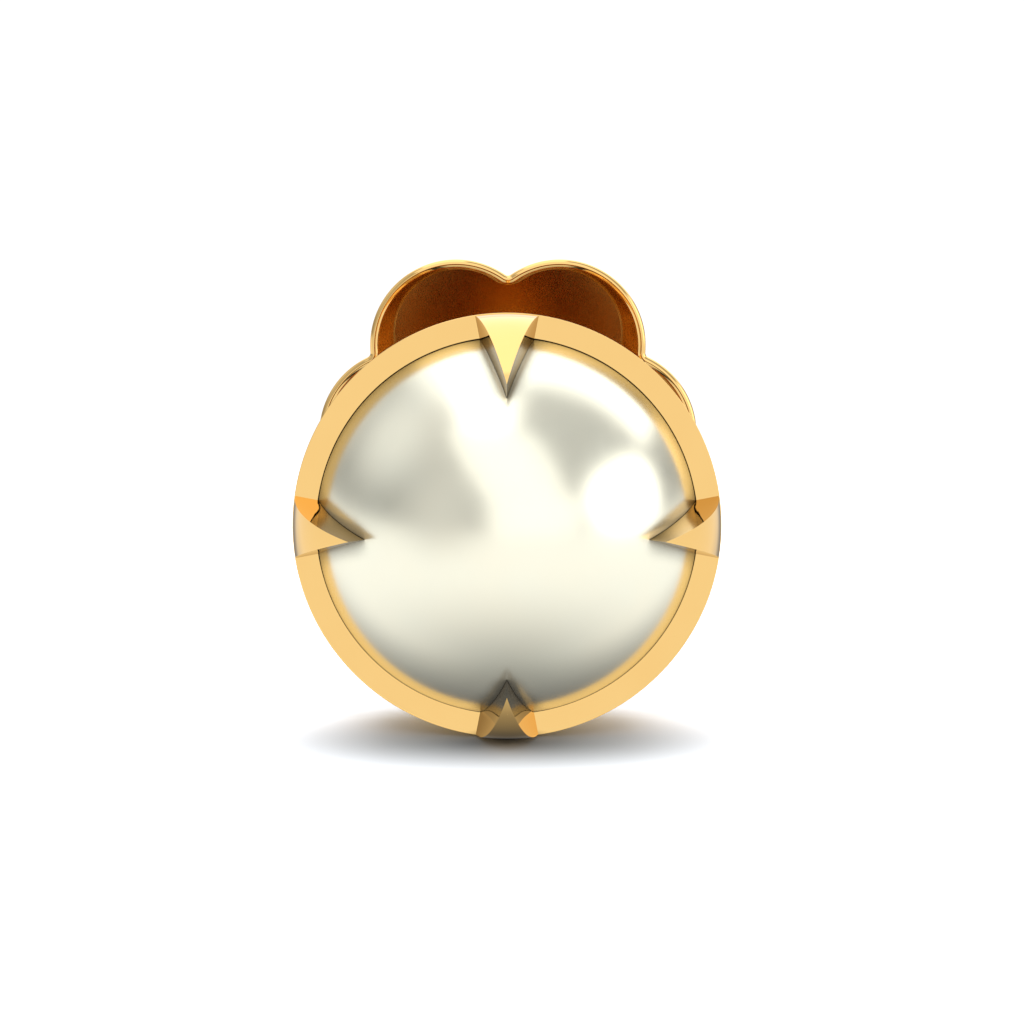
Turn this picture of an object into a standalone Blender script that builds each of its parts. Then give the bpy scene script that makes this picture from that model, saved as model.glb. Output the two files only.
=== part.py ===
"""Pearl nose pin: a button pearl in a four-claw bezel, on a post that carries a six-lobed screw nut.

The post runs along Y. The pearl faces -Y and the nut is near the +Y end. Z is up, the surface
that the pin lies on is z = 0, and the origin is under the middle of the whole pin.

A turned shape is a list of (radius, depth) points, where depth is the distance behind the
bezel's flat front face. What stands in front of that face has a negative depth.
"""

import bmesh
import bpy
from math import atan2, cos, pi, radians, sin, sqrt, tan
from mathutils import Vector

MM = 0.001

# Driving dimensions of the bezel and its cup

BEZEL_RADIUS = 2.25 * MM        # outside of the flat front face
FACE_WIDTH = 0.25 * MM          # flat front face, from its outside edge to the opening
CUP_TAPER = radians(5.4)        # how much the cup's side narrows towards its flat back
CUP_FLOOR = 0.42 * MM           # metal between the bottom of the pearl's pocket and the flat back
EDGE_RADIUS = 0.04 * MM         # rounding of the cup's back edge

# Driving dimensions of the pearl

PEARL_DOME = 1.45 * MM          # ball-shaped part of the pearl in front of the bezel's face
PEARL_BACK = 1.05 * MM          # pearl behind the bezel's face, to its flatter back
PEARL_CLEARANCE = 0.02 * MM     # between the pearl and the metal round it

# Driving dimensions of the claws

CLAW_COUNT = 4
CLAW_WIDTH = 0.67 * MM          # at the bezel's outside edge
CLAW_SIDE_TURN = radians(11)    # how far each side of the foot turns in towards the middle
CLAW_ARCH = 1.13 * MM           # radius of the arch from the bezel's edge over the pearl
CLAW_SWEEP = radians(63.5)      # how much of the arch the flat top of a claw follows
CLAW_SETBACK = 0.01 * MM        # claw's outside behind the bezel's outside edge
CLAW_ROOT = 0.10 * MM           # depth that a claw is let into the bezel's face

# Driving dimensions of the post

POST_RADIUS = 0.42 * MM
POST_FILLET = 0.10 * MM         # solder fillet where the post leaves the cup's back
POST_END_ROUND = 0.18 * MM      # rounding of the free end
POST_PROUD = 0.15 * MM          # free end past the nut's back

# Driving dimensions of the nut

NUT_DISTANCE = 7.77 * MM        # bezel's front face to the nut's rim
LOBE_COUNT = 6
LOBE_RADIUS = 1.105 * MM
LOBE_CENTRE = 1.322 * MM        # from the post's axis to a lobe's centre
NOTCH_RADIUS = 0.06 * MM        # rounding of the notch between two lobes, on the outside
NUT_WALL = 0.11 * MM
NUT_CUP_DEPTH = 1.85 * MM       # rim to floor
NUT_FLOOR = 0.35 * MM
NUT_DRAFT = radians(4.2)        # how much the nut's wall narrows towards its back
NUT_BACK_ROUND = 0.16 * MM      # rounding of the nut's back edge
BARREL_WALL = 0.25 * MM         # round the bore
THREAD_CLEARANCE = 0.03 * MM    # between the post and the nut's bore

# Number of straight sides that stand for a round

TURN_SIDES = 80
CLAW_TURN_SIDES = 176
ARCH_STEPS = 12
PEARL_STEPS = 9
LOBE_STEPS = 10
NOTCH_STEPS = 3
ROUND_STEPS = 4

# Sizes that follow

OPENING_RADIUS = BEZEL_RADIUS - FACE_WIDTH
BEZEL_DEPTH = PEARL_BACK + PEARL_CLEARANCE + CUP_FLOOR
BEZEL_BACK_RADIUS = BEZEL_RADIUS - BEZEL_DEPTH * tan(CUP_TAPER)
POCKET_DOME = PEARL_DOME + PEARL_CLEARANCE
PEARL_WAIST = (OPENING_RADIUS ** 2 - POCKET_DOME ** 2) / (2 * POCKET_DOME)
PEARL_RADIUS = PEARL_DOME + PEARL_WAIST
NUT_DEPTH = NUT_CUP_DEPTH + NUT_FLOOR
BORE_RADIUS = POST_RADIUS + THREAD_CLEARANCE
BARREL_RADIUS = BORE_RADIUS + BARREL_WALL
POST_END = NUT_DISTANCE + NUT_DEPTH + POST_PROUD
PIN_MIDDLE = (POST_END - PEARL_DOME) / 2

GOLD = (0.94, 0.62, 0.24, 1.0)
PEARL_WHITE = (0.90, 0.87, 0.78, 1.0)


def clear_scene():
    for item in list(bpy.data.objects):
        bpy.data.objects.remove(item, do_unlink=True)


def material(name, colour, roughness, metallic):
    made = bpy.data.materials.new(name)
    made.use_nodes = True
    shader = made.node_tree.nodes["Principled BSDF"]
    shader.inputs["Base Color"].default_value = colour
    shader.inputs["Roughness"].default_value = roughness
    shader.inputs["Metallic"].default_value = metallic
    return made


def place(across, up, depth):
    """A point given by its offset from the post's axis and its depth behind the bezel's face."""
    return Vector((across, depth - PIN_MIDDLE, BEZEL_RADIUS + up))


def add_object(name, mesh_data, finish):
    made = bpy.data.objects.new(name, mesh_data)
    bpy.context.collection.objects.link(made)
    mesh_data.materials.append(finish)
    return made


def finish_mesh(name, shape):
    bmesh.ops.remove_doubles(shape, verts=shape.verts, dist=0.0001 * MM)
    bmesh.ops.recalc_face_normals(shape, faces=shape.faces)
    mesh_data = bpy.data.meshes.new(name)
    shape.to_mesh(mesh_data)
    shape.free()
    return mesh_data


def loft(shape, loops, closed=False):
    """Join each loop of vertices to the next, and the last to the first where it is closed."""
    pairs = list(zip(loops, loops[1:]))
    if closed:
        pairs.append((loops[-1], loops[0]))
    for near, far in pairs:
        for k in range(len(near)):
            following = (k + 1) % len(near)
            shape.faces.new((near[k], near[following], far[following], far[k]))


def turned(name, profile, sides):
    """A closed solid turned about the post's axis. Its profile starts and ends on the axis.

    The middles of its sides, not their corner lines, face up, down, left and right, so that
    no corner line lies along a claw's ridge.
    """
    shape = bmesh.new()
    start = shape.verts.new(place(0, 0, profile[0][1]))
    end = shape.verts.new(place(0, 0, profile[-1][1]))
    loops = []
    for radius, depth in profile[1:-1]:
        turns = [2 * pi * (k + 0.5) / sides for k in range(sides)]
        loops.append([shape.verts.new(place(radius * cos(t), radius * sin(t), depth)) for t in turns])
    loft(shape, loops)
    for k in range(sides):
        following = (k + 1) % sides
        shape.faces.new((start, loops[0][k], loops[0][following]))
        shape.faces.new((end, loops[-1][k], loops[-1][following]))
    return finish_mesh(name, shape)


def arc(centre, radius, start, sweep, steps):
    """Points of a circular arc from start through sweep, as (radius, depth) pairs."""
    points = []
    for k in range(steps + 1):
        angle = start + sweep * k / steps
        points.append((centre[0] + radius * cos(angle), centre[1] + radius * sin(angle)))
    return points


# Pearl

def pearl_profile(gap=0.0):
    """The pearl's own profile, or with a gap the pocket that holds it.

    Its front is a ball. It is widest at its waist, behind the bezel's face, so the bezel holds
    it in, and its back is flatter.
    """
    quarter = [pi / 2 * k / PEARL_STEPS for k in range(PEARL_STEPS + 1)]
    wide = PEARL_RADIUS + gap
    back_depth = PEARL_BACK + gap - PEARL_WAIST
    points = [(wide * sin(angle), PEARL_WAIST - wide * cos(angle)) for angle in quarter]
    return points + [(wide * cos(angle), PEARL_WAIST + back_depth * sin(angle)) for angle in quarter[1:]]


def make_pearl(finish):
    return add_object("pearl", turned("pearl", pearl_profile(), TURN_SIDES), finish)


# Bezel, claws and post

def head_profile():
    """The cup before its pocket is cut, with the post behind it."""
    lean = atan2(BEZEL_RADIUS - BEZEL_BACK_RADIUS, BEZEL_DEPTH)
    # The back edge is rounded by an arc that meets the tapered side and the flat back
    tangent = EDGE_RADIUS * tan((pi / 2 - lean) / 2)
    round_centre = (BEZEL_BACK_RADIUS - tangent, BEZEL_DEPTH - EDGE_RADIUS)
    fillet_centre = (POST_RADIUS + POST_FILLET, BEZEL_DEPTH + POST_FILLET)
    end_centre = (POST_RADIUS - POST_END_ROUND, POST_END - POST_END_ROUND)
    points = [(0, 0), (BEZEL_RADIUS, 0)]
    points += arc(round_centre, EDGE_RADIUS, lean, pi / 2 - lean, ROUND_STEPS)
    points += arc(fillet_centre, POST_FILLET, -pi / 2, -pi / 2, ROUND_STEPS)
    points += arc(end_centre, POST_END_ROUND, 0, pi / 2, ROUND_STEPS)
    points.append((0, POST_END))
    return points


def arch_profile():
    """The dome whose surface the top of every claw follows, let into the bezel's face."""
    edge = BEZEL_RADIUS - CLAW_SETBACK
    root_lean = (BEZEL_RADIUS - BEZEL_BACK_RADIUS) / BEZEL_DEPTH
    points = [(0, -CLAW_ARCH)]
    for k in range(ARCH_STEPS + 1):
        angle = pi / 2 * (1 - k / ARCH_STEPS)
        points.append((edge - CLAW_ARCH * (1 - cos(angle)), -CLAW_ARCH * sin(angle)))
    points.append((edge - CLAW_ROOT * root_lean, CLAW_ROOT))
    points.append((0, CLAW_ROOT))
    return points


def claw_wedge(name, turn):
    """Four-cornered wedge with the flat sides of one claw, its sharp ridge over the pearl."""
    edge = BEZEL_RADIUS - CLAW_SETBACK
    narrowing = tan(CLAW_SIDE_TURN)
    ridge_from_edge = CLAW_ARCH * (1 - cos(CLAW_SWEEP))
    ridge_height = CLAW_ARCH * sin(CLAW_SWEEP)
    side_lean = (CLAW_WIDTH / 2 - ridge_from_edge * narrowing) / ridge_height

    outside = edge + CLAW_ROOT
    outside_half = CLAW_WIDTH / 2 + CLAW_ROOT * narrowing
    foot_half = outside_half + CLAW_ROOT * side_lean
    inner_end = outside - foot_half / narrowing
    corners = [
        (outside, -foot_half, CLAW_ROOT),
        (outside, foot_half, CLAW_ROOT),
        (inner_end, 0, CLAW_ROOT),
        (outside, 0, -outside_half / side_lean),
    ]
    shape = bmesh.new()
    verts = []
    for outward, sideways, depth in corners:
        across = outward * cos(turn) - sideways * sin(turn)
        up = outward * sin(turn) + sideways * cos(turn)
        verts.append(shape.verts.new(place(across, up, depth)))
    for left_out in range(len(verts)):
        shape.faces.new([v for k, v in enumerate(verts) if k != left_out])
    return finish_mesh(name, shape)


def add_cutter(name, mesh_data):
    cutter = bpy.data.objects.new(name, mesh_data)
    bpy.context.collection.objects.link(cutter)
    cutter.hide_render = True
    cutter.display_type = "WIRE"
    return cutter


def add_boolean(target, operation, other):
    step = target.modifiers.new(other.name, "BOOLEAN")
    step.operation = operation
    step.solver = "EXACT"
    step.object = other


def make_bezel_setting(finish):
    setting = add_object("bezel_setting", turned("bezel_setting", head_profile(), TURN_SIDES), finish)
    for k in range(CLAW_COUNT):
        dome = turned(f"claw_{k}", arch_profile(), CLAW_TURN_SIDES)
        claw = add_cutter(f"claw_{k}", dome)
        wedge = add_cutter(f"claw_wedge_{k}", claw_wedge(f"claw_wedge_{k}", 2 * pi * k / CLAW_COUNT))
        add_boolean(claw, "INTERSECT", wedge)
        add_boolean(setting, "UNION", claw)
    hollow = turned("pearl_pocket", pearl_profile(PEARL_CLEARANCE), TURN_SIDES)
    pocket = add_cutter("pearl_pocket", hollow)
    add_boolean(setting, "DIFFERENCE", pocket)
    return setting


# Nut

def lobed_outline():
    """Points of the rim's outside with their outward directions, once round the post's axis.

    Each lobe is an arc, and a small arc of the other hand rounds each notch between two lobes.
    """
    half_pitch = pi / LOBE_COUNT
    along = LOBE_CENTRE * cos(half_pitch)
    aside = LOBE_CENTRE * sin(half_pitch)
    reach = LOBE_RADIUS + NOTCH_RADIUS
    notch_centre = along + sqrt(reach ** 2 - aside ** 2)
    # Direction from a lobe's centre to the centre of the notch's rounding, from the lobe's own
    lobe_half_angle = atan2(notch_centre * sin(half_pitch), notch_centre * cos(half_pitch) - LOBE_CENTRE)
    notch_half_angle = lobe_half_angle - half_pitch
    outline = []
    for lobe in range(LOBE_COUNT):
        middle = 2 * half_pitch * lobe
        centre = Vector((cos(middle), sin(middle))) * LOBE_CENTRE
        for k in range(LOBE_STEPS + 1):
            angle = middle + lobe_half_angle * (2 * k / LOBE_STEPS - 1)
            outward = Vector((cos(angle), sin(angle)))
            outline.append((centre + outward * LOBE_RADIUS, outward))
        notch = middle + half_pitch
        centre = Vector((cos(notch), sin(notch))) * notch_centre
        for k in range(1, NOTCH_STEPS):
            angle = notch + notch_half_angle * (1 - 2 * k / NOTCH_STEPS)
            outward = Vector((cos(angle), sin(angle)))
            outline.append((centre - outward * NOTCH_RADIUS, outward))
    return outline


def make_screw_nut(finish):
    shape = bmesh.new()
    outline = lobed_outline()
    rim = NUT_DISTANCE
    floor = rim + NUT_CUP_DEPTH
    back = rim + NUT_DEPTH
    slope = tan(NUT_DRAFT)

    def lobed_loop(inset, depth):
        points = [point - outward * inset for point, outward in outline]
        return [shape.verts.new(place(p.x, p.y, depth)) for p in points]

    def round_loop(radius, depth):
        turns = [atan2(point.y, point.x) for point, outward in outline]
        return [shape.verts.new(place(radius * cos(t), radius * sin(t), depth)) for t in turns]

    loops = []
    # Half-round rim, from the outside over the crown to the inside
    crown = NUT_WALL / 2
    for k in range(2 * ROUND_STEPS + 1):
        angle = pi * k / (2 * ROUND_STEPS)
        loops.append(lobed_loop(crown * (1 - cos(angle)), rim + crown * (1 - sin(angle))))
    loops.append(lobed_loop(NUT_WALL + NUT_CUP_DEPTH * slope, floor))
    loops.append(round_loop(BARREL_RADIUS, floor))
    loops.append(round_loop(BARREL_RADIUS, rim))
    loops.append(round_loop(BORE_RADIUS, rim))
    loops.append(round_loop(BORE_RADIUS, back))
    # Rounded back edge, from the flat back to the tapered side
    for k in range(ROUND_STEPS + 1):
        angle = pi / 2 * k / ROUND_STEPS
        inset = NUT_DEPTH * slope + NUT_BACK_ROUND * (1 - sin(angle))
        loops.append(lobed_loop(inset, back - NUT_BACK_ROUND * (1 - cos(angle))))
    loft(shape, loops, closed=True)
    return add_object("screw_nut", finish_mesh("screw_nut", shape), finish)


def shade(made):
    made.data.shade_smooth()
    made.data.set_sharp_from_angle(angle=radians(35))


def main():
    clear_scene()
    gold = material("polished_gold", GOLD, 0.12, 1.0)
    nacre = material("pearl_nacre", PEARL_WHITE, 0.25, 0.0)
    pieces = [make_pearl(nacre), make_bezel_setting(gold), make_screw_nut(gold)]
    for piece in pieces:
        shade(piece)


main()
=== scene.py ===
"""Looks of the pearl nose pin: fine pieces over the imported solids, their finishes, a studio and the camera.

A shape that turns round the post's axis is a list of (radius, depth) points, where depth is
the distance behind the bezel's flat front face. What stands in front of that face has a
negative depth. All lengths are in metres, as in the frame.
"""

from math import asin, atan2, cos, pi, radians, sin, sqrt, tan

import bmesh
import bpy
from mathutils import Matrix, Vector


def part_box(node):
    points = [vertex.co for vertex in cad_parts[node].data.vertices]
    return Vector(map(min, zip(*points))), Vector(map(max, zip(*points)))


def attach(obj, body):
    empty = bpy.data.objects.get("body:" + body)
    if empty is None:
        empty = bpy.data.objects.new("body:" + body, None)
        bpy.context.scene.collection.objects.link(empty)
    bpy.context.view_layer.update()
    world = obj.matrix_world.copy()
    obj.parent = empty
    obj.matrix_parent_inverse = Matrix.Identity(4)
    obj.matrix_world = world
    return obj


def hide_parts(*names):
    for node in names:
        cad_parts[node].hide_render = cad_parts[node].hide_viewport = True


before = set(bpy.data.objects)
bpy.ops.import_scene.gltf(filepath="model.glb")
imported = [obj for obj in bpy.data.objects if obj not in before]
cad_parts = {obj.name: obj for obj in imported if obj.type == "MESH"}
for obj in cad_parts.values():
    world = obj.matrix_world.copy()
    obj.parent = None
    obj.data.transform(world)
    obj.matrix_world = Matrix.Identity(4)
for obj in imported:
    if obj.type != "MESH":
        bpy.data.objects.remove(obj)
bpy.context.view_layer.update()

MM = 0.001

# Bezel and cup

BEZEL_RADIUS = 2.25 * MM
OPENING_RADIUS = 2.00 * MM
BEZEL_DEPTH = 1.49 * MM
BEZEL_BACK_RADIUS = BEZEL_RADIUS - BEZEL_DEPTH * tan(radians(5.4))
FACE_EDGE = 0.004 * MM          # rounding of the face's two edges
CUP_EDGE = 0.04 * MM            # rounding of the cup's back edge

# Pearl

PEARL_DOME = 1.45 * MM          # ball-shaped part in front of the bezel's face
PEARL_BACK = 1.05 * MM          # behind the bezel's face, to its flatter back
PEARL_GAP = 0.004 * MM          # between the pearl and its pocket
PEARL_DROP = 0.003 * MM         # the pearl lies on the lower side of its pocket
POCKET_DOME = PEARL_DOME + PEARL_GAP
PEARL_WAIST = (OPENING_RADIUS ** 2 - POCKET_DOME ** 2) / (2 * POCKET_DOME)
PEARL_RADIUS = PEARL_DOME + PEARL_WAIST

# Claws

CLAW_COUNT = 4
CLAW_WIDTH = 0.67 * MM          # at the bezel's outside edge
CLAW_SIDE_TURN = radians(11)    # how far each side of the foot turns in towards the middle
CLAW_ARCH = 1.13 * MM           # radius of the arch from the bezel's edge over the pearl
CLAW_SWEEP = radians(63.5)      # how much of the arch the flat top of a claw follows
CLAW_EDGE = BEZEL_RADIUS - 0.01 * MM
CLAW_FOOT = 0.03 * MM           # depth that a claw is let into the bezel's face
CLAW_ROOT = 0.10 * MM           # depth that its sides go on below the pearl's surface
CLAW_SINK = 0.03 * MM           # depth that its tip is let into the pearl
CLAW_HAIR = 0.012 * MM          # height of the dark line between a claw's side and the pearl
CLAW_UNDERCUT = 0.05 * MM       # depth of that line
CLAW_HOLLOW = 0.02              # how far a side curves in, as a share of its height

# Post and its thread

POST_RADIUS = 0.42 * MM
POST_FILLET = 0.10 * MM
POST_END_ROUND = 0.18 * MM
THREAD_START = 4.0 * MM         # behind the bezel's face
THREAD_PITCH = 0.25 * MM
THREAD_DEPTH = 0.045 * MM
THREAD_SHARPNESS = 1.3          # above 1 the crests are wider than the roots

# Nut

LOBE_COUNT = 6
LOBE_RADIUS = 1.105 * MM
LOBE_CENTRE = 1.322 * MM        # from the post's axis to a lobe's centre
NOTCH_RADIUS = 0.06 * MM
NUT_WALL = 0.11 * MM
NUT_CUP_DEPTH = 1.85 * MM
NUT_DRAFT = radians(4.2)
NUT_BACK_ROUND = 0.16 * MM
NUT_FLOOR_FILLET = 0.01 * MM
BORE_RADIUS = 0.45 * MM
BARREL_RADIUS = 0.70 * MM
BARREL_CHAMFER = 0.02 * MM

HOLD = 0.004 * MM               # from a rounded edge to where a flat stretch is shaded as flat
MERGE = 0.00002 * MM            # corners nearer to each other than this become one

# Number of straight steps that stand for a round

TURN_SIDES = 192
PEARL_STEPS = 40
EDGE_STEPS = 4
ARCH_STEPS = 40
RIDGE_STEP = 0.01 * MM          # along a claw's ridge
TOP_STEPS = 10
SIDE_STEPS = 6
POST_SIDES = 64
THREAD_STEPS = 14               # along one pitch
LOBE_STEPS = 60
NOTCH_STEPS = 12
RIM_STEPS = 12
ROUND_STEPS = 8

# Places that the frame gives

FACE_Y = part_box("pearl")[0].y + PEARL_DOME
AXIS_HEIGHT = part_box("bezel_setting")[0].z + BEZEL_RADIUS
POST_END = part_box("bezel_setting")[1].y - FACE_Y
NUT_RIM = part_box("screw_nut")[0].y - FACE_Y
NUT_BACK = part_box("screw_nut")[1].y - FACE_Y

# Camera: the photograph shows the middle of the bezel's face a little left of and below its own middle

FOCAL_PIXELS = 3250
PHOTO_PIXELS = 1024
SENSOR_WIDTH = 36
CAMERA_PITCH = radians(8.49)
CAMERA_DISTANCE = 34.06 * MM    # from the middle of the bezel's face
FACE_LEFT_OF_VIEW = 0.0524 * MM
FACE_BELOW_VIEW = 0.1572 * MM
CLIP_START = 1 * MM
CLIP_END = 2000 * MM
GLOSSY_BOUNCES = 6              # how often the metal mirrors itself


def place(across, up, depth):
    """A point given by its offset from the post's axis and its depth behind the bezel's face."""
    return Vector((across, FACE_Y + depth, AXIS_HEIGHT + up))


# Mesh helpers

def finish_piece(name, shape, body, finish, sharp=40):
    """A piece of the visual model from its mesh, riding on a body of the frame."""
    bmesh.ops.remove_doubles(shape, verts=shape.verts, dist=MERGE)
    bmesh.ops.recalc_face_normals(shape, faces=shape.faces)
    mesh_data = bpy.data.meshes.new(name)
    shape.to_mesh(mesh_data)
    shape.free()
    mesh_data.shade_smooth()
    mesh_data.set_sharp_from_angle(angle=radians(sharp))
    mesh_data.materials.append(finish)
    piece = bpy.data.objects.new(name, mesh_data)
    bpy.context.collection.objects.link(piece)
    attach(piece, body)
    return piece


def loft(shape, loops, closed=False):
    """Join each loop of vertices to the next, and the last to the first where it is closed."""
    pairs = list(zip(loops, loops[1:]))
    if closed:
        pairs.append((loops[-1], loops[0]))
    for near, far in pairs:
        for k in range(len(near)):
            following = (k + 1) % len(near)
            shape.faces.new((near[k], near[following], far[following], far[k]))


def cap(shape, loop, depth):
    """Close the end of a turned shape with a fan to a point on the axis."""
    middle = shape.verts.new(place(0, 0, depth))
    for k in range(len(loop)):
        shape.faces.new((middle, loop[k], loop[(k + 1) % len(loop)]))


def hold(points):
    """Adds a point near each end of every long straight stretch, so that it is shaded as straight."""
    held = [points[0]]
    for start, end in zip(points, points[1:]):
        span = (Vector(end) - Vector(start)).length
        if span > 4 * HOLD:
            held.append(tuple(Vector(start).lerp(Vector(end), HOLD / span)))
            held.append(tuple(Vector(end).lerp(Vector(start), HOLD / span)))
        held.append(end)
    return held


def turned(profile, sides=TURN_SIDES):
    """A closed solid turned about the post's axis. Its profile starts and ends on the axis."""
    shape = bmesh.new()
    turns = [2 * pi * k / sides for k in range(sides)]
    loops = []
    for radius, depth in profile[1:-1]:
        loops.append([shape.verts.new(place(radius * cos(t), radius * sin(t), depth)) for t in turns])
    loft(shape, loops)
    cap(shape, loops[0], profile[0][1])
    cap(shape, loops[-1], profile[-1][1])
    return shape


def arc(centre, radius, start, sweep, steps):
    """Points of a circular arc from start through sweep, as (radius, depth) pairs."""
    points = []
    for k in range(steps + 1):
        angle = start + sweep * k / steps
        points.append((centre[0] + radius * cos(angle), centre[1] + radius * sin(angle)))
    return points


# Node helpers

def number(tree, operation, *values):
    """One step of arithmetic on numbers and on outputs of other nodes."""
    node = tree.nodes.new("ShaderNodeMath")
    node.operation = operation
    for socket, value in zip(node.inputs, values):
        if isinstance(value, (int, float)):
            socket.default_value = value
        else:
            tree.links.new(value, socket)
    return node.outputs["Value"]


def length(tree, first, second):
    """Length of the slanted side over two sides at right angles."""
    squares = [number(tree, "MULTIPLY", side, side) for side in (first, second)]
    return number(tree, "SQRT", number(tree, "ADD", *squares))


def soft_step(tree, value, start, end):
    """From 0 to 1 as the value goes from start to end, gently at both ends."""
    node = tree.nodes.new("ShaderNodeMapRange")
    node.interpolation_type = "SMOOTHSTEP"
    node.inputs["From Min"].default_value = start
    node.inputs["From Max"].default_value = end
    tree.links.new(value, node.inputs["Value"])
    return node.outputs["Result"]


def even_step(tree, value, start, end, low=0.0, high=1.0):
    """From low to high as the value goes from start to end."""
    node = tree.nodes.new("ShaderNodeMapRange")
    node.inputs["From Min"].default_value = start
    node.inputs["From Max"].default_value = end
    node.inputs["To Min"].default_value = low
    node.inputs["To Max"].default_value = high
    tree.links.new(value, node.inputs["Value"])
    return node.outputs["Result"]


def between(tree, value, low, high):
    """A number from low to high as the value goes from 0.3 to 0.7."""
    return even_step(tree, value, 0.3, 0.7, low, high)


def blend_colours(tree, value, first, second):
    """A colour from the first, given or from a node, to the second as the value goes from 0.3 to 0.7."""
    node = tree.nodes.new("ShaderNodeMix")
    node.data_type = "RGBA"
    if isinstance(first, tuple):
        node.inputs["A"].default_value = first
    else:
        tree.links.new(first, node.inputs["A"])
    node.inputs["B"].default_value = second
    tree.links.new(between(tree, value, 0, 1), node.inputs["Factor"])
    return node.outputs["Result"]


def scaled_colour(tree, colour, share):
    """A colour, given or from a node, made as dark as the share says."""
    node = tree.nodes.new("ShaderNodeVectorMath")
    node.operation = "SCALE"
    if isinstance(colour, tuple):
        node.inputs[0].default_value = colour[:3]
    else:
        tree.links.new(colour, node.inputs[0])
    tree.links.new(share, node.inputs["Scale"])
    return node.outputs["Vector"]


def split_vector(tree, vector):
    """The three outputs of a vector, by the names X, Y and Z."""
    node = tree.nodes.new("ShaderNodeSeparateXYZ")
    tree.links.new(vector, node.inputs["Vector"])
    return node.outputs


def show_mix(tree, share, first, second, output):
    """What a material or the world shows: the first where the share is 0, the second where it is 1."""
    mix = tree.nodes.new("ShaderNodeMixShader")
    tree.links.new(share, mix.inputs["Fac"])
    tree.links.new(first, mix.inputs[1])
    tree.links.new(second, mix.inputs[2])
    tree.links.new(mix.outputs["Shader"], tree.nodes[output].inputs["Surface"])


def new_material(name):
    """A material's tree, its Principled shader, and a point given in millimetres."""
    made = bpy.data.materials.new(name)
    made.use_nodes = True
    tree = made.node_tree
    to_mm = tree.nodes.new("ShaderNodeMapping")
    to_mm.inputs["Scale"].default_value = (1 / MM, 1 / MM, 1 / MM)
    tree.links.new(tree.nodes.new("ShaderNodeTexCoord").outputs["Object"], to_mm.inputs["Vector"])
    return made, tree, tree.nodes["Principled BSDF"], to_mm.outputs["Vector"]


def noise(tree, point, scale, detail):
    """Cloudy values round 0.5. The scale is in patches to a millimetre."""
    node = tree.nodes.new("ShaderNodeTexNoise")
    node.inputs["Scale"].default_value = scale
    node.inputs["Detail"].default_value = detail
    tree.links.new(point, node.inputs["Vector"])
    return node.outputs["Fac"]


def add_bump(tree, shader, value, height):
    """A relief of that height in metres."""
    node = tree.nodes.new("ShaderNodeBump")
    node.inputs["Strength"].default_value = 1
    node.inputs["Distance"].default_value = height
    tree.links.new(value, node.inputs["Height"])
    tree.links.new(node.outputs["Normal"], shader.inputs["Normal"])


# Finishes

GOLD = (0.905, 0.595, 0.222, 1)
GOLD_WARM = (0.895, 0.580, 0.212, 1)
GOLD_ROUGHNESS = (0.008, 0.02)
GOLD_RELIEF = 0.000004 * MM
NACRE = (0.985, 0.955, 0.785, 1)
NACRE_COOL = (0.965, 0.955, 0.800, 1)
NACRE_ROUGHNESS = (0.23, 0.26)
NACRE_RELIEF = 0.00002 * MM

# Painted shade on the nut's inside, where less light gets in

HOLLOW_SHADE_GOLD = (0.48, 0.24, 0.05, 1)
HOLLOW_ROUGHNESS = 0.10         # added to the gold's own
HOLLOW_START = 0.78 * MM        # behind the rim to where the painted shade starts
HOLLOW_FULL = 1.82 * MM         # behind the rim to where the painted shade is darkest
HOLLOW_LEAN = 0.3               # a face that looks outward or backward more than this isn't inside
HOLLOW_RADIUS = 1.0 * MM        # the barrel's outside lies within this radius, the nut's beyond it

# Painted shade on the claws: tone of each claw's two sides beside the ring, then of both over the pearl

CLAW_SIDE_SHADES = [
    (0.65, 0.50, 0.80),
    (0.50, 0.50, 0.58),
    (0.45, 1.00, 0.62),
    (1.00, 0.26, 0.16),
]
CLAW_SIDE_FACING = 0.7          # a face that looks sideways more than this is a claw's side
CLAW_SIDE_EDGE = OPENING_RADIUS - 0.05 * MM     # from here out a side counts as beside the ring

# Shade on the pearl right beside the claws and the ring

CONTACT_REACH = 0.28 * MM
CONTACT_CLOSED = 0.30           # share of open sky at which the pearl is black
CONTACT_OPEN = 0.92             # share of open sky from which it has its own colour
CONTACT_SAMPLES = 12


def hollow_shade_share(tree):
    """Share of the painted shade on the gold: 1 deep inside the nut's cup, 0 on its rim and outside."""
    where = tree.nodes.new("ShaderNodeTexCoord")
    spot = split_vector(tree, where.outputs["Object"])
    facing = split_vector(tree, where.outputs["Normal"])
    up = number(tree, "SUBTRACT", spot["Z"], AXIS_HEIGHT)
    radius = length(tree, spot["X"], up)
    sideways = number(tree, "MULTIPLY", facing["X"], spot["X"])
    upwards = number(tree, "MULTIPLY", facing["Z"], up)
    lean = number(tree, "MULTIPLY", radius, HOLLOW_LEAN)
    outward = number(tree, "GREATER_THAN", number(tree, "ADD", sideways, upwards), lean)
    outside = number(tree, "MULTIPLY", outward, number(tree, "GREATER_THAN", radius, HOLLOW_RADIUS))
    backward = number(tree, "GREATER_THAN", facing["Y"], HOLLOW_LEAN)
    inside = number(tree, "SUBTRACT", 1.0, number(tree, "MAXIMUM", outside, backward))
    depth = number(tree, "SUBTRACT", spot["Y"], FACE_Y + NUT_RIM)
    return number(tree, "MULTIPLY", inside, even_step(tree, depth, HOLLOW_START, HOLLOW_FULL))


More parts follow.
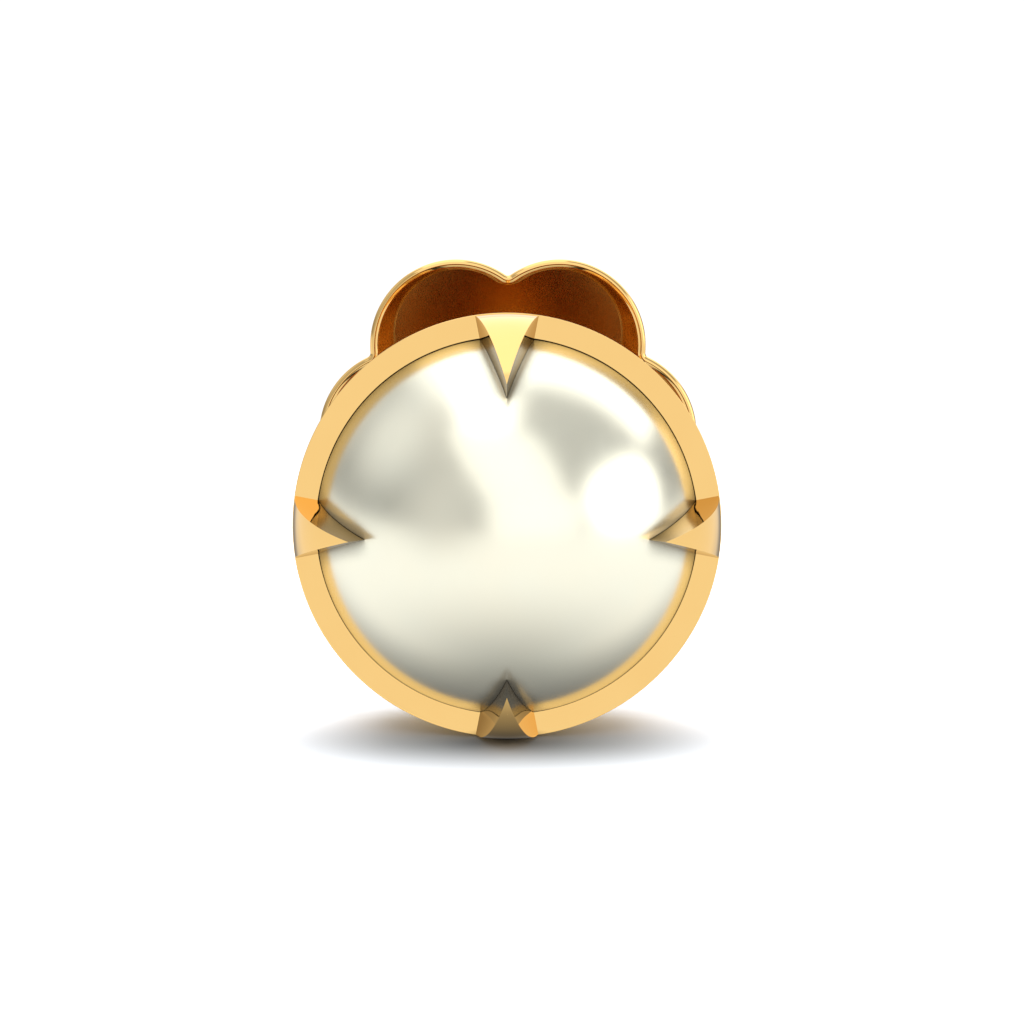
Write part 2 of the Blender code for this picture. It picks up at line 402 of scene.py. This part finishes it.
def claw_side_shade(tree, turn, ring_first, ring_second, over_pearl):
    """Painted shade on a claw: 1 on its top, less on each side beside the ring and over the pearl."""
    where = tree.nodes.new("ShaderNodeTexCoord")
    spot = split_vector(tree, where.outputs["Object"])
    facing = tree.nodes.new("ShaderNodeVectorMath")
    facing.operation = "DOT_PRODUCT"
    facing.inputs[1].default_value = (-sin(turn), 0, cos(turn))
    tree.links.new(where.outputs["Normal"], facing.inputs[0])
    first = number(tree, "GREATER_THAN", facing.outputs["Value"], CLAW_SIDE_FACING)
    second = number(tree, "LESS_THAN", facing.outputs["Value"], -CLAW_SIDE_FACING)
    across = number(tree, "MULTIPLY", spot["X"], cos(turn))
    up = number(tree, "MULTIPLY", number(tree, "SUBTRACT", spot["Z"], AXIS_HEIGHT), sin(turn))
    at_ring = number(tree, "GREATER_THAN", number(tree, "ADD", across, up), CLAW_SIDE_EDGE)
    over_it = number(tree, "SUBTRACT", 1.0, at_ring)
    lost = number(tree, "MULTIPLY", number(tree, "ADD", first, second), over_it)
    lost = number(tree, "MULTIPLY", lost, 1 - over_pearl)
    for side, tone in ((first, ring_first), (second, ring_second)):
        beside = number(tree, "MULTIPLY", side, at_ring)
        lost = number(tree, "MULTIPLY_ADD", beside, 1 - tone, lost)
    return number(tree, "SUBTRACT", 1.0, lost)


def gold(name, hollow=False, claw=None):
    """Polished yellow gold: slight clouds of tone and of polish, and a relief too fine to blur it. Where
    asked, painted shade inside the nut's cup or on a claw's sides.
    """
    made, tree, shader, point = new_material(name)
    tone = blend_colours(tree, noise(tree, point, 1.6, 3), GOLD, GOLD_WARM)
    roughness = between(tree, noise(tree, point, 9, 4), *GOLD_ROUGHNESS)
    # painted shade: darker gold deep inside the nut's cup, with a rougher polish there
    if hollow:
        share = hollow_shade_share(tree)
        tone = blend_colours(tree, share, tone, HOLLOW_SHADE_GOLD)
        roughness = number(tree, "MULTIPLY_ADD", share, HOLLOW_ROUGHNESS, roughness)
    # painted shade on the claw's sides
    if claw:
        tone = scaled_colour(tree, tone, claw_side_shade(tree, *claw))
    tree.links.new(tone, shader.inputs["Base Color"])
    tree.links.new(roughness, shader.inputs["Roughness"])
    shader.inputs["Metallic"].default_value = 1
    add_bump(tree, shader, noise(tree, point, 22, 2), GOLD_RELIEF)
    return made


def nacre(name):
    """Cream nacre with a satin lustre, and painted shade right beside what stands on it."""
    made, tree, shader, point = new_material(name)
    # painted shade: the share of open sky nearby darkens the colour
    sky = tree.nodes.new("ShaderNodeAmbientOcclusion")
    sky.samples = CONTACT_SAMPLES
    sky.inputs["Distance"].default_value = CONTACT_REACH
    openness = even_step(tree, sky.outputs["AO"], CONTACT_CLOSED, CONTACT_OPEN)
    tone = blend_colours(tree, noise(tree, point, 0.9, 2), NACRE, NACRE_COOL)
    tree.links.new(scaled_colour(tree, tone, openness), shader.inputs["Base Color"])
    roughness = between(tree, noise(tree, point, 5, 3), *NACRE_ROUGHNESS)
    tree.links.new(roughness, shader.inputs["Roughness"])
    shader.inputs["Metallic"].default_value = 1
    add_bump(tree, shader, noise(tree, point, 3, 1), NACRE_RELIEF)
    return made


# Pearl

def pearl_profile():
    """The ball-shaped front down to the waist, then the flatter back."""
    quarter = [pi / 2 * k / PEARL_STEPS for k in range(PEARL_STEPS + 1)]
    back_depth = PEARL_BACK - PEARL_WAIST
    points = [(PEARL_RADIUS * sin(angle), PEARL_WAIST - PEARL_RADIUS * cos(angle)) for angle in quarter]
    return points + [(PEARL_RADIUS * cos(a), PEARL_WAIST + back_depth * sin(a)) for a in quarter[1:]]


def make_pearl(finish):
    """The pearl, down on the lower side of its pocket."""
    shape = turned(pearl_profile())
    bmesh.ops.translate(shape, verts=shape.verts, vec=(0, 0, -PEARL_DROP))
    piece = finish_piece("button_pearl", shape, "setting", finish, 80)
    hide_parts("pearl")
    return piece


# Bezel cup, claws and post

def cup_profile():
    """From the bottom of the pearl's pocket over the flat face and down the tapered side to the post."""
    lean = atan2(BEZEL_RADIUS - BEZEL_BACK_RADIUS, BEZEL_DEPTH)
    quarter = [pi / 2 * k / PEARL_STEPS for k in range(PEARL_STEPS + 1)]
    wide = PEARL_RADIUS + PEARL_GAP
    back_depth = PEARL_BACK + PEARL_GAP - PEARL_WAIST
    points = [(wide * sin(a), PEARL_WAIST + back_depth * cos(a)) for a in quarter]
    lip = asin((PEARL_WAIST - 2 * FACE_EDGE) / wide)
    rise = [lip * k / ROUND_STEPS for k in range(1, ROUND_STEPS + 1)]
    points += [(wide * cos(angle), PEARL_WAIST - wide * sin(angle)) for angle in rise]
    points += arc((OPENING_RADIUS + FACE_EDGE, FACE_EDGE), FACE_EDGE, pi, pi / 2, EDGE_STEPS)
    side_turn = pi / 2 + lean
    side_centre = (BEZEL_RADIUS - FACE_EDGE * (1 + sin(lean)), FACE_EDGE)
    points += arc(side_centre, FACE_EDGE, -pi / 2, side_turn, EDGE_STEPS)
    tangent = CUP_EDGE * tan((pi / 2 - lean) / 2)
    back_centre = (BEZEL_BACK_RADIUS - tangent, BEZEL_DEPTH - CUP_EDGE)
    points += arc(back_centre, CUP_EDGE, lean, pi / 2 - lean, ROUND_STEPS)
    fillet_centre = (POST_RADIUS + POST_FILLET, BEZEL_DEPTH + POST_FILLET)
    points += arc(fillet_centre, POST_FILLET, -pi / 2, -pi / 2, ROUND_STEPS)
    points.append((0, BEZEL_DEPTH + POST_FILLET))
    return hold(points)


def make_cup(finish):
    """The bezel's ring and cup, one turned piece."""
    piece = finish_piece("bezel_cup", turned(cup_profile()), "setting", finish)
    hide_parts("bezel_setting")
    return piece


def pearl_height(radius):
    """How far the pearl stands in front of the bezel's face at that distance from the axis."""
    return sqrt(PEARL_RADIUS ** 2 - radius ** 2) - PEARL_WAIST


CLAW_NARROWING = tan(CLAW_SIDE_TURN)
CLAW_TIP_RADIUS = CLAW_EDGE - CLAW_ARCH * (1 - cos(CLAW_SWEEP))
CLAW_TIP_HEIGHT = CLAW_ARCH * sin(CLAW_SWEEP)
CLAW_LEAN = (CLAW_WIDTH / 2 - (CLAW_EDGE - CLAW_TIP_RADIUS) * CLAW_NARROWING) / CLAW_TIP_HEIGHT


def claw_half_width(radius, height):
    """Half the width of a claw at that distance from the axis and height above the bezel's face."""
    return max(0.0, CLAW_WIDTH / 2 - (CLAW_EDGE - radius) * CLAW_NARROWING - height * CLAW_LEAN)


def claw_tops():
    """Points (radius, height) along the top of a claw: its flat top, then its ridge into the pearl."""
    points = []
    for k in range(ARCH_STEPS + 1):
        angle = CLAW_SWEEP * k / ARCH_STEPS
        points.append((CLAW_EDGE - CLAW_ARCH * (1 - cos(angle)), CLAW_ARCH * sin(angle)))
    ridge_slope = CLAW_NARROWING / CLAW_LEAN
    radius = CLAW_TIP_RADIUS
    height = CLAW_TIP_HEIGHT
    while height > pearl_height(radius) - CLAW_SINK:
        radius -= RIDGE_STEP
        height -= RIDGE_STEP * ridge_slope
        points.append((radius, height))
    return points


def claw_corner(radius, top):
    """Where the top of a claw meets its side, at that distance from the pin's axis."""
    half = claw_half_width(radius, top)
    for _ in range(8):
        half = claw_half_width(sqrt(radius ** 2 - half ** 2), top)
    return half, sqrt(radius ** 2 - half ** 2)


def claw_seat(outward):
    """Height at which the side of a claw ends, a hair above the pearl or on the bezel's face."""
    height = 0.0
    for _ in range(12):
        radius = sqrt(outward ** 2 + claw_half_width(outward, height) ** 2)
        height = max(0.0, pearl_height(min(radius, OPENING_RADIUS)))
    return height + CLAW_HAIR if height > 0 else 0.0


def claw_section(shape, spot, radius, top):
    """One cross-section of a claw, up one side, over its round top and down the other side."""
    corner, outward = claw_corner(radius, top)
    seat = min(claw_seat(outward), top)
    root = min(seat - (CLAW_ROOT if seat > 0 else CLAW_FOOT), top)
    side = [(max(0.0, claw_half_width(outward, seat) - CLAW_UNDERCUT), height) for height in (root, seat)]
    for k in range(SIDE_STEPS):
        share = k / SIDE_STEPS
        height = seat + (top - seat) * share
        hollow = CLAW_HOLLOW * (top - seat) * 4 * share * (1 - share)
        side.append((max(0.0, claw_half_width(outward, height) - hollow), height))
    points = [(outward, half, height) for half, height in side]
    for k in range(TOP_STEPS + 1):
        half = corner * (1 - 2 * k / TOP_STEPS)
        points.append((sqrt(radius ** 2 - half ** 2), half, top))
    points += [(outward, -half, height) for half, height in side[::-1]]
    return [shape.verts.new(spot(*point)) for point in points]


def make_claw(index, finish):
    """One claw. The first is on the right, and the next ones follow round towards the top."""
    turn = 2 * pi * index / CLAW_COUNT

    def spot(outward, sideways, height):
        across = outward * cos(turn) - sideways * sin(turn)
        up = outward * sin(turn) + sideways * cos(turn)
        return place(across, up, -height)

    shape = bmesh.new()
    loops = [claw_section(shape, spot, radius, top) for radius, top in claw_tops()]
    loft(shape, loops)
    shape.faces.new(loops[0])
    shape.faces.new(loops[-1])
    return finish_piece(f"claw_{index + 1}", shape, "setting", finish, 25)


def thread_radius(turn, depth):
    """Radius of the threaded part of the post: rounded crests and roots on a helix."""
    phase = depth / THREAD_PITCH - turn / (2 * pi)
    wave = 0.5 - 0.5 * cos(2 * pi * phase)
    cut_in = min(1.0, max(0.0, (depth - THREAD_START) / (2 * THREAD_PITCH)))
    return POST_RADIUS - THREAD_DEPTH * cut_in * wave ** THREAD_SHARPNESS


def make_post(finish):
    """The post from the cup's back to its rounded end, threaded from THREAD_START on."""
    shape = bmesh.new()
    turns = [2 * pi * k / POST_SIDES for k in range(POST_SIDES)]
    step = THREAD_PITCH / THREAD_STEPS
    last = POST_END - POST_END_ROUND
    count = int((last - THREAD_START) / step)
    depths = [BEZEL_DEPTH, THREAD_START] + [THREAD_START + step * k for k in range(1, count)]
    loops = []
    for depth in depths:
        points = [(thread_radius(t, depth), t) for t in turns]
        loops.append([shape.verts.new(place(r * cos(t), r * sin(t), depth)) for r, t in points])
    for k in range(ROUND_STEPS):
        angle = pi / 2 * k / ROUND_STEPS
        lost = POST_END_ROUND * (1 - cos(angle))
        depth = last + POST_END_ROUND * sin(angle)
        points = [(thread_radius(t, depth) - lost, t) for t in turns]
        loops.append([shape.verts.new(place(r * cos(t), r * sin(t), depth)) for r, t in points])
    loft(shape, loops)
    cap(shape, loops[0], BEZEL_DEPTH)
    cap(shape, loops[-1], POST_END)
    return finish_piece("threaded_post", shape, "setting", finish, 60)


# Nut

def lobed_outline():
    """Points of the rim's outside with their outward directions, once round the post's axis."""
    half_pitch = pi / LOBE_COUNT
    along = LOBE_CENTRE * cos(half_pitch)
    aside = LOBE_CENTRE * sin(half_pitch)
    reach = LOBE_RADIUS + NOTCH_RADIUS
    notch_centre = along + sqrt(reach ** 2 - aside ** 2)
    lobe_half_angle = atan2(notch_centre * sin(half_pitch), notch_centre * cos(half_pitch) - LOBE_CENTRE)
    notch_half_angle = lobe_half_angle - half_pitch
    outline = []
    for lobe in range(LOBE_COUNT):
        middle = 2 * half_pitch * lobe
        centre = Vector((cos(middle), sin(middle))) * LOBE_CENTRE
        for k in range(LOBE_STEPS + 1):
            angle = middle + lobe_half_angle * (2 * k / LOBE_STEPS - 1)
            outward = Vector((cos(angle), sin(angle)))
            outline.append((centre + outward * LOBE_RADIUS, outward))
        notch = middle + half_pitch
        centre = Vector((cos(notch), sin(notch))) * notch_centre
        for k in range(1, NOTCH_STEPS):
            angle = notch + notch_half_angle * (1 - 2 * k / NOTCH_STEPS)
            outward = Vector((cos(angle), sin(angle)))
            outline.append((centre - outward * NOTCH_RADIUS, outward))
    return outline


def make_nut(finish):
    """The nut, one closed skin: rim, inside wall, floor, barrel, bore, back and outside wall."""
    shape = bmesh.new()
    outline = lobed_outline()
    floor = NUT_RIM + NUT_CUP_DEPTH
    slope = tan(NUT_DRAFT)

    def lobed_loop(inset, depth):
        points = [point - outward * inset for point, outward in outline]
        return [shape.verts.new(place(p.x, p.y, depth)) for p in points]

    def round_loop(radius, depth):
        turns = [atan2(point.y, point.x) for point, outward in outline]
        return [shape.verts.new(place(radius * cos(t), radius * sin(t), depth)) for t in turns]

    crown = NUT_WALL / 2
    rim = arc((crown, NUT_RIM + crown), crown, pi, pi, RIM_STEPS)
    inner_foot = NUT_WALL + NUT_CUP_DEPTH * slope
    inner_centre = (inner_foot + NUT_FLOOR_FILLET, floor - NUT_FLOOR_FILLET)
    inner = arc(inner_centre, NUT_FLOOR_FILLET, pi, -pi / 2, EDGE_STEPS)
    outer_centre = ((NUT_BACK - NUT_RIM) * slope + NUT_BACK_ROUND, NUT_BACK - NUT_BACK_ROUND)
    outer = arc(outer_centre, NUT_BACK_ROUND, pi / 2, pi / 2, ROUND_STEPS)
    lip_centre = (BARREL_RADIUS - BARREL_CHAMFER, NUT_RIM + BARREL_CHAMFER)
    lip = arc(lip_centre, BARREL_CHAMFER, 0, -pi / 2, EDGE_STEPS)
    barrel = [(BARREL_RADIUS + HOLD, floor), (BARREL_RADIUS, floor)] + lip
    barrel += [(BORE_RADIUS, NUT_RIM), (BORE_RADIUS, NUT_BACK), (BORE_RADIUS + HOLD, NUT_BACK)]
    wall = hold(rim + inner + [(inner[-1][0] + HOLD, floor)])
    back = hold([(outer[0][0] + HOLD, NUT_BACK)] + outer + [rim[0]])[:-1]
    loops = [lobed_loop(inset, depth) for inset, depth in wall]
    loops += [round_loop(radius, depth) for radius, depth in hold(barrel)]
    loops += [lobed_loop(inset, depth) for inset, depth in back]
    loft(shape, loops, closed=True)
    piece = finish_piece("cup_nut", shape, "nut", finish)
    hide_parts("screw_nut")
    return piece


# Studio

FLOOR_REACH = 400 * MM
FLOOR_TONE = (0.87, 0.90, 0.95, 1)
LIT_FLOOR = 9 * MM              # the floor's own shade counts out to here
WHITE_FLOOR = 24 * MM           # the floor is a plain white glow from here on
WHITE_GLOW = 1.1                # brightness of the floor and the background far from the pin
SHADOW_WIDTH = 3.00 * MM        # half the width of the painted shadow under the bezel
SHADOW_DEPTH = 1.45 * MM        # half its depth
SHADOW_AHEAD = 0.26 * MM        # from the bezel's face forward to its middle
SHADOW_DARKEST = 0.16

# Painted shade under the pin, which only reflections show
MIRRORED_SHADE_WIDTH = 0.55 * MM        # from the line under the pin to where the shade ends
MIRRORED_SHADE_CORE = 0.15              # share of that width that is fully dark
MIRRORED_SHADE_HEIGHT = 0.0001 * MM
MIRRORED_SHADE_GLOW = 0.05

OVERHEAD_HEIGHT = 80 * MM
OVERHEAD_WIDTH = 93 * MM
OVERHEAD_LENGTH = 900 * MM
OVERHEAD_GLOW = 1.8             # brightness of the light's surface


def level_plane(name, low, high, height, finish):
    """A flat level rectangle between two corners (across, along)."""
    mesh_data = bpy.data.meshes.new(name)
    corners = [(low[0], low[1]), (high[0], low[1]), (high[0], high[1]), (low[0], high[1])]
    mesh_data.from_pydata([(x, y, height) for x, y in corners], [], [(0, 1, 2, 3)])
    mesh_data.materials.append(finish)
    made = bpy.data.objects.new(name, mesh_data)
    bpy.context.collection.objects.link(made)
    return made


def make_floor():
    """The white floor. The surroundings stand for it in reflections."""
    reach = FLOOR_REACH
    floor = level_plane("floor", (-reach, -reach), (reach, reach), 0, floor_material())
    floor.visible_glossy = False
    floor.visible_diffuse = False


def floor_material():
    """Matt pale grey with the pin's cast shadow and a painted shadow under the bezel, going over to a white
    glow further out.
    """
    made = bpy.data.materials.new("floor_paper")
    made.use_nodes = True
    tree = made.node_tree
    shader = tree.nodes["Principled BSDF"]
    where = tree.nodes.new("ShaderNodeTexCoord").outputs["Object"]
    spot = split_vector(tree, where)
    # painted shadow: an ellipse under the bezel darkens the floor's colour
    across = number(tree, "DIVIDE", spot["X"], SHADOW_WIDTH)
    behind = number(tree, "SUBTRACT", spot["Y"], FACE_Y - SHADOW_AHEAD)
    along = number(tree, "DIVIDE", behind, SHADOW_DEPTH)
    shade = number(tree, "MULTIPLY_ADD", length(tree, across, along), 1 - SHADOW_DARKEST, SHADOW_DARKEST)
    tone = scaled_colour(tree, FLOOR_TONE, number(tree, "MINIMUM", shade, 1.0))
    tree.links.new(tone, shader.inputs["Base Color"])
    shader.inputs["Roughness"].default_value = 1
    shader.inputs["Specular IOR Level"].default_value = 0
    distance = tree.nodes.new("ShaderNodeVectorMath")
    distance.operation = "LENGTH"
    tree.links.new(where, distance.inputs[0])
    share = soft_step(tree, distance.outputs["Value"], LIT_FLOOR, WHITE_FLOOR)
    glow = tree.nodes.new("ShaderNodeEmission")
    glow.inputs["Strength"].default_value = WHITE_GLOW
    show_mix(tree, share, shader.outputs["BSDF"], glow.outputs["Emission"], "Material Output")
    return made


def make_mirrored_shade():
    """A sheet of painted shade along the line where the pin lies on the floor, which only reflections show.
    """
    width = MIRRORED_SHADE_WIDTH
    low = (-width, FACE_Y - width)
    high = (width, FACE_Y + NUT_BACK + width)
    shade = level_plane("contact_shade", low, high, MIRRORED_SHADE_HEIGHT, mirrored_shade_material())
    shade.visible_camera = False
    shade.visible_diffuse = False
    shade.visible_shadow = False


def mirrored_shade_material():
    """Painted shade, dark along the line under the pin, clear further out."""
    made = bpy.data.materials.new("contact_shade")
    made.use_nodes = True
    tree = made.node_tree
    dark = tree.nodes.new("ShaderNodeEmission")
    dark.inputs["Strength"].default_value = MIRRORED_SHADE_GLOW
    clear = tree.nodes.new("ShaderNodeBsdfTransparent")
    spot = split_vector(tree, tree.nodes.new("ShaderNodeTexCoord").outputs["Object"])
    behind = number(tree, "DIVIDE", number(tree, "SUBTRACT", spot["Y"], FACE_Y), MIRRORED_SHADE_WIDTH)
    across = number(tree, "DIVIDE", spot["X"], MIRRORED_SHADE_WIDTH)
    distance = length(tree, number(tree, "MINIMUM", behind, 0.0), across)
    share = soft_step(tree, distance, 1.0, MIRRORED_SHADE_CORE)
    show_mix(tree, share, clear.outputs["BSDF"], dark.outputs["Emission"], "Material Output")
    return made


def make_overhead_light():
    """A soft light above the floor. No reflection shows it: the surroundings stand for the lamps there."""
    lamp = bpy.data.lights.new("overhead", "AREA")
    lamp.shape = "RECTANGLE"
    lamp.size = OVERHEAD_WIDTH
    lamp.size_y = OVERHEAD_LENGTH
    lamp.energy = OVERHEAD_GLOW * pi * OVERHEAD_WIDTH * OVERHEAD_LENGTH
    made = bpy.data.objects.new("overhead", lamp)
    bpy.context.collection.objects.link(made)
    downward = Vector((0, 0, -1)).to_track_quat("-Z", "Y").to_matrix().to_4x4()
    made.matrix_world = Matrix.Translation((0, 0, OVERHEAD_HEIGHT)) @ downward
    made.visible_camera = False
    made.visible_glossy = False


# Brightness of the surroundings at each elevation in degrees, from straight below to straight above

SURROUNDINGS = [
    (-90, 0.44),
    (-80, 0.48),
    (-70, 0.57),
    (-60, 0.69),
    (-50, 0.82),
    (-40, 0.94),
    (-30, 1.02),
    (-20, 1.05),
    (-12, 1.05),
    (-5, 1.03),
    (-1, 0.95),
    (3, 0.42),
    (12, 0.38),
    (20, 0.45),
    (32, 0.52),
    (60, 0.55),
]

# Panels of light: azimuth, elevation and turn in degrees, then the half width, half height and shift
# across and up as tangents, the squareness, the softness of the edge and the glow

PANELS = [
    ((180, -45, 0.0), (0.76, 0.74), (0.0, 0.0), 2, 0.98, 0.15),
    ((180, -14, 0.0), (0.50, 0.34), (0.0, 0.0), 2, 0.40, 0.28),
    ((180, 24, 0.0), (0.90, 0.34), (0.0, 0.0), 2, 0.70, 1.20),
    ((-92, 37, 0.0), (0.38, 0.34), (0.0, 0.0), 2, 0.90, 0.85),
    ((-40, 12, 0.0), (0.36, 0.34), (0.0, 0.0), 2, 0.90, 0.66),
    ((0, -7, 0.0), (0.16, 0.12), (0.0, 0.0), 2, 0.40, 1.05),
    ((0, 90, 0.0), (0.39, 1.60), (-0.29, -2.00), 8, 0.12, 1.20),
    ((0, 90, 40.0), (0.63, 1.25), (-0.78, -1.75), 8, 0.12, 1.20),
    ((16, 10, 0.0), (0.52, 0.22), (0.0, 0.0), 4, 0.20, 1.20),
    ((75, 13, 0.0), (0.52, 0.31), (0.0, 0.0), 2.5, 0.20, 1.80),
    ((0, 90, 0.0), (0.30, 0.48), (-0.19, -0.12), 8, 0.16, 1.60),
    ((0, 90, 12.7), (1.33, 1.10), (0.83, 1.13), 8, 0.20, 1.60),
]


def direction(azimuth, elevation):
    """A unit vector from the pin: azimuth 0 is straight in front, positive to the right."""
    across = sin(radians(azimuth)) * cos(radians(elevation))
    ahead = -cos(radians(azimuth)) * cos(radians(elevation))
    return Vector((across, ahead, sin(radians(elevation))))


def panel_share(tree, towards, aim, size, shift, squareness, softness):
    """How much of a direction lies on a panel of light: 1 on it, 0 off it, between on its soft edge."""
    azimuth, elevation, turn = aim
    middle = direction(azimuth, elevation)
    level = Vector((cos(radians(azimuth)), sin(radians(azimuth)), 0))
    upward = middle.cross(level)
    across = level * cos(radians(turn)) + upward * sin(radians(turn))
    along = upward * cos(radians(turn)) - level * sin(radians(turn))
    turned_to = tree.nodes.new("ShaderNodeMapping")
    turned_to.inputs["Rotation"].default_value = Matrix((across, -middle, along)).to_euler()
    tree.links.new(towards, turned_to.inputs["Vector"])
    spot = split_vector(tree, turned_to.outputs["Vector"])
    ahead = number(tree, "MAXIMUM", number(tree, "MULTIPLY", spot["Y"], -1), 0.001)
    reach = []
    for output, half, moved in ((spot["X"], size[0], shift[0]), (spot["Z"], size[1], shift[1])):
        offset = number(tree, "SUBTRACT", number(tree, "DIVIDE", output, ahead), moved)
        share = number(tree, "ABSOLUTE", number(tree, "DIVIDE", offset, half))
        reach.append(number(tree, "POWER", share, squareness))
    distance = number(tree, "POWER", number(tree, "ADD", *reach), 1 / squareness)
    return soft_step(tree, distance, 1 + softness, 1 - softness)


def make_world():
    """White behind the pin for the camera, and round it a studio for reflections."""
    world = bpy.data.worlds.new("studio")
    bpy.context.scene.world = world
    world.use_nodes = True
    tree = world.node_tree
    nodes = tree.nodes
    links = tree.links
    towards = nodes.new("ShaderNodeTexCoord").outputs["Generated"]
    ramp = nodes.new("ShaderNodeValToRGB")
    height = split_vector(tree, towards)["Z"]
    links.new(number(tree, "MULTIPLY_ADD", height, 0.5, 0.5), ramp.inputs["Fac"])
    while len(ramp.color_ramp.elements) < len(SURROUNDINGS):
        ramp.color_ramp.elements.new(0.5)
    for element, (elevation, level) in zip(ramp.color_ramp.elements, SURROUNDINGS):
        element.position = (sin(radians(elevation)) + 1) / 2
        element.color = (level, level, level, 1)
    brightness = ramp.outputs["Color"]
    for aim, size, shift, squareness, softness, glow in PANELS:
        lit = nodes.new("ShaderNodeMix")
        lit.data_type = "RGBA"
        lit.inputs["B"].default_value = (glow, glow, glow, 1)
        share = panel_share(tree, towards, aim, size, shift, squareness, softness)
        links.new(share, lit.inputs["Factor"])
        links.new(brightness, lit.inputs["A"])
        brightness = lit.outputs["Result"]
    links.new(brightness, nodes["Background"].inputs["Color"])
    seen = nodes.new("ShaderNodeLightPath")
    white = nodes.new("ShaderNodeBackground")
    white.inputs["Color"].default_value = (1, 1, 1, 1)
    white.inputs["Strength"].default_value = WHITE_GLOW
    studio = nodes["Background"].outputs["Background"]
    show_mix(tree, seen.outputs["Is Camera Ray"], studio, white.outputs["Background"], "World Output")


def make_camera():
    """The camera of the photograph, level with the bezel's sides and tilted down."""
    forward = Vector((0, cos(CAMERA_PITCH), -sin(CAMERA_PITCH)))
    right = Vector((1, 0, 0))
    up = right.cross(forward)
    lens = bpy.data.cameras.new("camera")
    lens.sensor_width = SENSOR_WIDTH
    lens.lens = FOCAL_PIXELS / PHOTO_PIXELS * SENSOR_WIDTH
    lens.clip_start = CLIP_START
    lens.clip_end = CLIP_END
    camera = bpy.data.objects.new("camera", lens)
    bpy.context.collection.objects.link(camera)
    spot = place(0, 0, 0) - forward * CAMERA_DISTANCE + right * FACE_LEFT_OF_VIEW + up * FACE_BELOW_VIEW
    camera.matrix_world = Matrix.Translation(spot) @ forward.to_track_quat("-Z", "Y").to_matrix().to_4x4()
    bpy.context.scene.camera = camera


def main():
    """Everything in its order: the pieces, the studio, the camera, then the view transform and the glossy
    bounces.
    """
    polished = gold("polished_gold_fine")
    # the nut's gold carries painted shade inside its cup
    nut_gold = gold("nut_gold_fine", hollow=True)
    make_pearl(nacre("pearl_nacre_fine"))
    make_cup(polished)
    # each claw's gold carries its own painted shade on its sides
    for index, side_shades in enumerate(CLAW_SIDE_SHADES):
        turn = 2 * pi * index / CLAW_COUNT
        make_claw(index, gold(f"claw_{index + 1}_gold", claw=(turn, *side_shades)))
    make_post(polished)
    make_nut(nut_gold)
    make_floor()
    make_mirrored_shade()
    make_overhead_light()
    make_world()
    make_camera()
    bpy.context.scene.view_settings.view_transform = "Standard"
    bpy.context.scene.cycles.glossy_bounces = GLOSSY_BOUNCES
    bpy.context.view_layer.update()


main()
